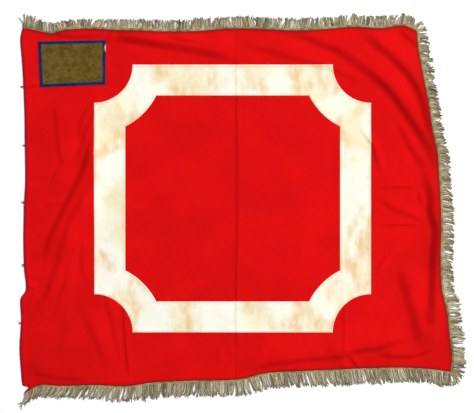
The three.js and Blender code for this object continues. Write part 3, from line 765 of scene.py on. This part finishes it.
def make_cloth():
    columns = CELLS_ALONG + 1
    rows = CELLS_ACROSS + 1
    up, along = np.meshgrid(crowded_steps(rows), crowded_steps(columns), indexing="ij")
    flat = lay(along, up)
    under = lift(flat)
    border = edge_closeness(along, up)
    over = under + CLOTH_THICKNESS * (1 - EDGE_THINNING * (border == 1)) + hem_rise(flat)
    upper = raised(flat, over).reshape(-1, 3)
    low = raised(flat, under)[::2, ::2]
    lower = low.reshape(-1, 3)
    count = len(upper)
    faces = list(grid_faces(columns, rows))
    faces += list(grid_faces(low.shape[1], low.shape[0], count, True))

    def wall(fine, coarse):
        for k in range(len(coarse) - 1):
            faces.append([fine[2 * k + 1], fine[2 * k], coarse[k], coarse[k + 1], fine[2 * k + 2]])

    fine = np.arange(count).reshape(rows, columns)
    coarse = count + np.arange(len(lower)).reshape(low.shape[:2])
    wall(fine[0], coarse[0])
    wall(fine[-1][::-1], coarse[-1][::-1])
    wall(fine[:, -1], coarse[:, -1])
    wall(fine[::-1, 0], coarse[::-1, 0])
    cloth = piece("cloth_sheet", np.vstack([upper, lower]), faces, RED, ["cloth"])
    # Painted shade along the press lines, darker where they stand higher.
    press_shade = np.maximum.reduce([ridge((*press[:2], *PRESS_SHADE_FLANKS), flat) for press in PRESS_LINES])
    hoist = edge_closeness(along, up, hoist_only=True)
    for name, over_it, under_it in (
        ("crease", press_shade, 0),
        # Painted shade near the fly edge and towards the foot's ends.
        ("fly_foot_shade", painted_edge_shade(along, up), 0),
        # Painted shade along the edges beside the fringe, and over the underside.
        ("seam", np.clip(border - hoist, 0, 1), UNDERSIDE_SHADE),
        # Painted shade along the hoist's edge.
        ("hoist_edge_shade", hoist, 0),
    ):
        point_values(cloth, name, np.concatenate([over_it.reshape(-1), np.full(len(lower), under_it)]))
    return cloth


def stepped_in(near, other, distance):
    """Points at a distance from the near ones, on the way to the other ones."""
    return near + unit(other - near) * distance


def band_outlines():
    """The band's outer and inner edges, with as many points on each side and cut-in corner of both."""
    outer = []
    inner = []
    inner_radius = BAND_CORNER + BAND_WIDTH
    trim = math.asin(BAND_WIDTH / inner_radius)
    share = np.linspace(0, 1, BAND_ARC_POINTS)
    for k, (side_x, side_y) in enumerate([(1, -1), (1, 1), (-1, 1), (-1, -1)]):
        centre = np.array(BAND_CENTRE) + np.array([side_x, side_y]) * BAND_HALF
        start = math.pi * (1 + k / 2)
        for edge, radius, cut in ((outer, BAND_CORNER, 0), (inner, inner_radius, trim)):
            angle = start - cut - (math.pi / 2 - 2 * cut) * share
            edge.append(centre + radius * np.column_stack([np.cos(angle), np.sin(angle)]))
    run = np.linspace(0, 1, BAND_SIDE_POINTS + 2)[1:-1, None]
    sides = []
    for edge in (outer, inner):
        loop = []
        for k in range(4):
            corner = edge[k]
            following = edge[(k + 1) % 4][0]
            loop += [corner, corner[-1] + (following - corner[-1]) * run]
        sides.append(np.vstack(loop))
    return sides


def make_band(outer, inner):
    last = BAND_EDGE[-1][0]
    start = stepped_in(outer, inner, last)
    end = stepped_in(inner, outer, last)
    grid = [stepped_in(outer, inner, offset) for offset, *_ in BAND_EDGE]
    grid += [start + (end - start) * share for share in np.linspace(0, 1, BAND_MIDDLE_ROWS + 2)[1:-1]]
    grid += [stepped_in(inner, outer, offset) for offset, *_ in BAND_EDGE[::-1]]
    edge = np.array(BAND_EDGE)[:, 1:]
    middle = np.tile((BAND_MIDDLE_RISE, 0), (BAND_MIDDLE_ROWS, 1))
    rise, soiled = np.vstack([edge, middle, edge[::-1]]).T
    columns = len(outer)
    pucker = PUCKER_HEIGHT * np.sin(np.arange(columns) * PUCKER_TURN)[None, :]
    pucker = pucker * np.abs(rise - BAND_MIDDLE_RISE)[:, None]
    band = laid_piece("band_sheet", np.array(grid), BAND_THICKNESS * rise[:, None], pucker, True,
                      CREAM, "band")
    point_values(band, "edge", np.repeat(soiled, columns))
    return band


def patch_outline(distance):
    """The patch's corners, moved in by a distance."""
    corners = np.array(PATCH_CORNERS, float)
    return corners + distance * np.sign(np.mean(corners, axis=0) - corners)


def make_patch():
    corners = patch_outline(BINDING_WIDTH - BINDING_OVERLAP)[[0, 1, 3, 2]]
    up, along = np.meshgrid(*(np.linspace(0, 1, count) for count in PATCH_GRID), indexing="ij")
    flat = between(corners, along[..., None], up[..., None])
    x = flat[..., 0]
    y = flat[..., 1]
    waves = 0.22 * np.sin(x / 17 + 1.2) * np.sin(y / 13) + 0.12 * np.sin(x / 7.3) * np.sin(y / 9.1 + 2)
    return laid_piece("patch_felt", flat, PATCH_THICKNESS, waves, False, FELT, "corner_patch")


def make_binding():
    outlines = []
    for corners in (patch_outline(0), patch_outline(BINDING_WIDTH)):
        loop = []
        for k, count in enumerate(BINDING_POINTS):
            share = np.linspace(0, 1, count, endpoint=False)[:, None]
            loop.append(corners[k] + (corners[(k + 1) % 4] - corners[k]) * share)
        outlines.append(np.vstack(loop))
    outer, inner = outlines
    shares, rise, line = np.array(BINDING_PROFILE).T
    flat = np.array([outer + (inner - outer) * share for share in shares])
    columns = len(outer)
    waves = 0.10 * np.sin(np.arange(columns) * 2.2)[None, :]
    binding = laid_piece("patch_braid", flat, BINDING_THICKNESS * rise[:, None], waves, True,
                         BRAID, "patch_binding")
    point_values(binding, "inner", np.repeat(line, columns))
    spot = from_pixel(*BARE_SPOT)
    away = np.hypot((flat[..., 0] - spot[0]) * 1.3, (flat[..., 1] - spot[1]) * 0.55)
    point_values(binding, "bare", (1 - smoothstep(3, 9, away)).reshape(-1))
    return binding


def tubes(paths, radii, sides):
    """Closed tubes along many paths at once. paths is tubes by stations by 3, radii is tubes by stations."""
    count, stations = paths.shape[:2]
    tangent = unit(np.gradient(paths, axis=1))
    side = np.stack([-tangent[..., 1], tangent[..., 0], np.zeros((count, stations))], axis=-1)
    side /= np.maximum(np.linalg.norm(side, axis=2)[..., None], 1e-9)
    above = np.cross(tangent, side)
    angle = -math.pi / 2 + 2 * math.pi * np.arange(sides) / sides
    ring = side[:, :, None] * np.cos(angle)[:, None] + above[:, :, None] * np.sin(angle)[:, None]
    points = (paths[:, :, None] + ring * radii[:, :, None, None]).reshape(-1, 3)
    starts = np.arange(count)[:, None, None] * stations * sides
    body = (grid_faces(sides, stations, close=True)[None] + starts).reshape(-1, 4)
    first = np.arange(sides)[::-1][None] + starts[:, 0]
    last = (stations - 1) * sides + np.arange(sides)[None] + starts[:, 0]
    faces = [*body, *first, *last]
    return points, faces, np.tile(angle + math.pi / 2, count * stations)


def stitch_row(name, line, stitch, height, material):
    """Short stitches along a line, each a small tube that dips at both ends."""
    spacing, length, radius = stitch
    far = walked(line)
    centres = np.arange(spacing / 2, far[-1], spacing)
    middle = sampled(line, far, centres)
    step = unit(sampled(line, far, centres + 0.5) - sampled(line, far, centres - 0.5))
    shares, arch, width = np.array(STITCH_PROFILE).T
    flat = middle[:, None] + step[:, None] * (shares * length)[:, None]
    ground = lift(middle)[:, None] + height
    paths = raised(flat, ground + radius * arch)
    points, faces, _ = tubes(paths, np.tile(radius * width, (len(paths), 1)), THREAD_SIDES)
    return piece(name, points, faces, material)


def fan(centre, start, end):
    """The stations of a fringe that turns round a corner from one outward direction to another."""
    angle = math.atan2(start[0] * end[1] - start[1] * end[0], start @ end)
    directions = turned(start, angle * np.linspace(0, 1, CORNER_STATIONS))
    return np.tile(centre, (CORNER_STATIONS, 1)), directions, directions


def side_run(edge, turn_before=None, turn_after=None):
    """The stations of a fringe along a line of cloth edge points: the edge, and the outward and hanging
    directions there. A corner before or after is given as the outward direction from which, or to which,
    the fringe turns."""
    step = unit(np.gradient(edge, axis=0))
    out = np.column_stack([-step[:, 1], step[:, 0]])
    spacing = walked(edge)[-1] / (len(edge) - 1)
    half = int(HANG_SMOOTHING / spacing)
    padded = np.vstack([np.tile(out[:1], (half, 1)), out, np.tile(out[-1:], (half, 1))])
    sums = np.cumsum(np.vstack([np.zeros((1, 2)), padded]), axis=0)
    hang = unit(sums[2 * half + 1 :] - sums[: -2 * half - 1])
    parts = [(edge, out, hang)]
    if turn_before is not None:
        parts.insert(0, fan(edge[0], turn_before, out[0]))
    if turn_after is not None:
        parts.append(fan(edge[-1], out[-1], turn_after))
    return dict(zip(("edge", "out", "hang"), map(np.vstack, zip(*parts))))


def make_heading(name, run):
    """The fringe's heading: a flat tape wrapped slantwise with yarn."""
    far = walked(run["edge"] + run["out"] * (HEADING_GAP + HEADING_WIDTH))
    even = np.linspace(0, far[-1], int(far[-1] / (HEADING_WRAP / 3)))
    base = sampled(run["edge"], far, even)
    outward = unit(sampled(run["out"], far, even))
    ground = lift(base)
    upper = []
    lower = []
    wound = []
    for share, height in HEADING_PROFILE[::-1]:
        slanted = even + min(share, 2 * HEADING_GROOVE - share) * HEADING_WIDTH * HEADING_SLANT
        wrap = np.sin(2 * math.pi * slanted / HEADING_WRAP)
        full = HEADING_THICKNESS * height + WRAP_DEPTH * wrap * min(1, 4 * share, 4 * (1 - share))
        flat = base + outward * (HEADING_GAP + HEADING_WIDTH * share)
        upper.append(raised(flat, ground + full))
        lower.append(raised(flat, ground))
        wound.append(slanted)
    points, faces = closed_sheet(np.vstack(upper), np.vstack(lower), len(even), len(upper))
    heading = piece(name, points, faces, HEADING)
    wound = np.concatenate(wound)
    point_values(heading, "along", wound * HEADING_TWIST)
    point_values(heading, "around", np.zeros(len(points)))
    point_values(heading, "tone", 0.5 + 0.25 * np.sin(wound / 23) + 0.2 * np.sin(wound / 5.1))
    return heading


def values_along(values, share):
    return np.interp(share, np.linspace(0, 1, len(values)), values)


def make_strands(name, run, fringe, node):
    """The fringe's strands, gathered in locks that lean, spread and curl together."""
    draw = np.random.default_rng(SEED + fringe["seed"])
    rim = run["edge"] + run["out"] * (HEADING_GAP + HEADING_WIDTH)
    far = walked(rim)
    turning = np.linalg.norm(np.diff(run["edge"], axis=0), axis=1) < 1e-6
    dense = np.concatenate([[0], np.cumsum(np.diff(far) * np.where(turning, CORNER_CROWDING, 1))])
    count = int(dense[-1] / STRAND_PITCH)
    spots = (np.arange(count) + 0.5 + draw.uniform(-0.45, 0.45, count)) * dense[-1] / count
    place = np.interp(spots, dense, far)
    bounds = np.cumsum(draw.uniform(*LOCK_SIZES, int(dense[-1] / LOCK_SIZES[0]) + 2))
    lock = np.searchsorted(bounds, spots)
    starts = np.concatenate([[0], bounds])[lock]
    size = bounds[lock] - starts
    within = (spots - starts) / size - 0.5
    locks = len(bounds) + 1
    bound = np.where(draw.random(count) < LOOSE_STRANDS, LOOSE_FOLLOWING, 1)
    unruly = fringe["unruly"]
    lock_lean = draw.normal(0, 4 * unruly, locks)[lock] * bound
    lock_curl = draw.normal(0, 16 * unruly, locks)[lock] * bound
    lock_belly = draw.normal(0, fringe["belly"], locks)[lock] * bound
    lock_reach = draw.normal(0, 0.06, locks)[lock]
    lock_tone = draw.normal(0, 0.15, locks)[lock]
    gather = draw.uniform(0.0, 0.2, locks)[lock] * bound
    share = place / far[-1]
    lean = values_along(fringe["lean"], share) + lock_lean + draw.normal(0, 4, count)
    stray = draw.random(count) < STRAY_STRANDS * unruly
    lean = lean + np.where(stray, draw.normal(0, STRAY_LEAN, count), 0)
    curl = fringe["curl"] + lock_curl + draw.normal(0, 8, count)
    belly = lock_belly + draw.normal(0, 0.6, count)
    reach = values_along(fringe["reach"], share) * (1.03 + lock_reach + draw.normal(0, 0.06, count))
    layer = draw.random(count)

    root = sampled(rim, far, place) - unit(sampled(run["out"], far, place)) * ROOT_DEPTH
    ground = lift(root)
    steps = np.linspace(0, 1, STRAND_STATIONS)
    length = reach + ROOT_DEPTH
    angle = -np.radians(lean[:, None] * (0.35 + 1.05 * steps) + curl[:, None] * steps**2)
    angle = angle + 0.05 * np.sin(steps * 5 + draw.uniform(0, 6.3, count)[:, None])
    direction = turned(unit(sampled(run["hang"], far, place))[:, None], angle)
    span = length[:, None, None] / (STRAND_STATIONS - 1)
    moved = np.concatenate([np.zeros((count, 1, 2)), np.cumsum(direction[:, 1:] * span, axis=1)], axis=1)
    across = np.stack([direction[..., 1], -direction[..., 0]], axis=-1)
    aside = belly[:, None] * np.sin(steps * math.pi)
    aside = aside - within[:, None] * gather[:, None] * size[:, None] * steps**1.6
    flat = root[:, None] + moved + across * aside[..., None]
    radius = STRAND_RADIUS * draw.uniform(0.82, 1.15, count)[:, None] * (1 - STRAND_TAPER * steps**2)
    fall = 1 - smoothstep(0, 0.55, steps)
    pile = radius + layer[:, None] * PILE_HEIGHT * (1 - 0.75 * steps)
    height = np.maximum(pile, (ground[:, None] + ROOT_HEIGHT) * fall + pile * (1 - fall))
    points, faces, around = tubes(raised(flat, height), radius, STRAND_SIDES)
    strands = piece(name, points, faces, YARN, [node])
    tone = 0.52 + values_along(fringe["tone"], share) + lock_tone + draw.normal(0, 0.24, count)
    # Painted shade towards each strand's tip, stronger on some strands.
    tip_shade = smoothstep(0.62, 1, steps) * draw.uniform(0.3, 1, count)[:, None]
    along = steps[None] * length[:, None]
    point_values(strands, "tone", np.repeat(np.clip(tone, 0, 1), STRAND_STATIONS * STRAND_SIDES))
    point_values(strands, "tip_shade", np.repeat(tip_shade.reshape(-1), STRAND_SIDES))
    point_values(strands, "along", np.repeat(along.reshape(-1), STRAND_SIDES))
    point_values(strands, "around", around)
    return strands


def make_fringes():
    share = np.linspace(0, 1, FRINGE_STATIONS)
    ones = np.ones(FRINGE_STATIONS)
    head = side_run(lay(share, ones))
    foot = side_run(lay(1 - share, 0 * ones))
    fly = side_run(lay(ones, 1 - share), head["out"][-1], foot["out"][0])
    pieces = []
    runs = {"head": (head, HEAD_FRINGE), "fly": (fly, FLY_FRINGE), "foot": (foot, FOOT_FRINGE)}
    for side, (run, fringe) in runs.items():
        seam = run["edge"] + run["out"] * (HEADING_GAP + HEADING_WIDTH * HEADING_GROOVE)
        pieces.append(make_heading(f"heading_{side}", run))
        pieces.append(stitch_row(f"heading_stitches_{side}", seam, HEADING_STITCH, HEADING_THICKNESS,
                                 YARN_THREAD))
        pieces.append(make_strands(f"strands_{side}", run, fringe, f"fringe_{side}"))
    return pieces


def make_thread_ends():
    """The ends of sewing thread along the hoist, each a small tuft of fibres."""
    draw = np.random.default_rng(SEED + THREAD_SEED)
    steps = np.linspace(0, 1, FIBRE_STATIONS)
    for k, (y, lean) in enumerate(THREADS):
        root_x = hoist_x(y) + THREAD_INSET
        spread = draw.normal(0, 13, FIBRES)[:, None]
        curl = draw.normal(0, 26, FIBRES)[:, None]
        angle = math.pi + np.radians(lean + spread + curl * steps)
        length = THREAD_LENGTH * draw.uniform(0.55, 1.1, FIBRES)[:, None]
        direction = np.stack([np.cos(angle), np.sin(angle)], axis=-1)
        root = np.column_stack([np.full(FIBRES, root_x), y + draw.normal(0, 0.8, FIBRES)])
        flat = root[:, None] + np.cumsum(direction * (length / (FIBRE_STATIONS - 1))[..., None], axis=1)
        start = lift(np.array([[root_x, y]]))[0] + CLOTH_THICKNESS + FIBRE_HEIGHT
        arch = draw.uniform(0.2, 1.6, FIBRES)[:, None] * np.sin(steps * math.pi)
        height = np.maximum(0.35, start * (1 - smoothstep(0.1, 0.7, steps))[None] + arch)
        radii = np.tile(FIBRE_RADIUS * (1 - 0.5 * steps), (FIBRES, 1))
        points, faces, _ = tubes(raised(flat, height), radii, THREAD_SIDES)
        piece(f"thread_end_{k + 1}", points, faces, DARK_THREAD, [f"hoist_thread_{k + 1}"])


cloth = make_cloth()
band_outer, band_inner = band_outlines()
band = make_band(band_outer, band_inner)
patch = make_patch()
binding = make_binding()
fringes = make_fringes()
make_thread_ends()

on_band = CLOTH_THICKNESS + LAYER_GAP + BAND_THICKNESS * 1.1
band_stitches = [
    stitch_row(f"band_stitches_{name}", closed_loop(stepped_in(near, other, BAND_SEAM)), BAND_STITCH,
               on_band, CREAM_THREAD)
    for name, near, other in (("outer", band_outer, band_inner), ("inner", band_inner, band_outer))
]
hoist_seam = EDGES["hoist"][SEWN_HOIST] + np.array([HEM_SEAM, 0])
hem_stitches = stitch_row("hem_stitches", hoist_seam, HEM_STITCH, CLOTH_THICKNESS + HEM_RISE,
                          RED_THREAD)
sewn_edge = np.vstack([EDGES["head"][SEWN_HEAD], EDGES["fly"][1:], EDGES["foot"][::-1][SEWN_FOOT]])
sewn_step = unit(np.gradient(sewn_edge, axis=0))
edge_seam = sewn_edge + np.column_stack([sewn_step[:, 1], -sewn_step[:, 0]]) * EDGE_SEAM
edge_stitches = stitch_row("edge_stitches", edge_seam, EDGE_STITCH, CLOTH_THICKNESS, RED_THREAD)
binding_seam = even_points(closed_loop(patch_outline(BINDING_SEAM)), 600)
binding_stitches = stitch_row("binding_stitches", binding_seam, BINDING_STITCH,
                              CLOTH_THICKNESS + LAYER_GAP + BINDING_THICKNESS, BLUE_THREAD)


def make_floor():
    mesh = bpy.data.meshes.new("floor")
    size = FLOOR_HALF * MM
    corners = [(-size, -size), (size, -size), (size, size), (-size, size)]
    mesh.from_pydata([(x, y, -FLOOR_DROP * MM) for x, y in corners], [], [(0, 1, 2, 3)])
    mesh.materials.append(floor_paint())
    add_object("floor", mesh)


def make_light(name, kind, azimuth, elevation, distance=0, **settings):
    """A light that shines on the origin, with its azimuth counted from +X towards +Y in degrees."""
    data = bpy.data.lights.new(name, kind)
    for key, value in settings.items():
        setattr(data, key, value)
    turn = math.radians(azimuth)
    rise = math.radians(elevation)
    place = Vector((math.cos(turn) * math.cos(rise), math.sin(turn) * math.cos(rise), math.sin(rise)))
    light = add_object(name, data)
    light.location = place * distance
    light.rotation_euler = (-place).to_track_quat("-Z", "Y").to_euler()


def make_lights():
    power = KEY_STRENGTH * math.pi * KEY_DISTANCE**2
    make_light("key", "AREA", 24, 36, KEY_DISTANCE, energy=power, size=2.1)
    make_light("top", "SUN", 68, 42, energy=1.1, angle=math.radians(16))
    world = bpy.data.worlds.new("studio")
    world.use_nodes = True
    background = world.node_tree.nodes["Background"]
    background.inputs["Color"].default_value = (0.97, 0.985, 1.0, 1)
    background.inputs["Strength"].default_value = 0.38
    bpy.context.scene.world = world


def make_camera():
    """Straight above the middle of the photograph, whose width it spans at the scale on the surface."""
    data = bpy.data.cameras.new("camera")
    data.sensor_width = SENSOR_WIDTH
    width = PHOTO_WIDTH * MM_PER_PIXEL * MM
    data.lens = data.sensor_width * CAMERA_HEIGHT / width
    data.clip_end = CAMERA_SIGHT
    camera = add_object("camera", data)
    x, y = from_pixel(PHOTO_WIDTH / 2, PHOTO_HEIGHT / 2)
    camera.location = (x * MM, y * MM, CAMERA_HEIGHT)
    bpy.context.scene.camera = camera


make_floor()
make_lights()
make_camera()
bpy.context.scene.view_settings.view_transform = "Standard"
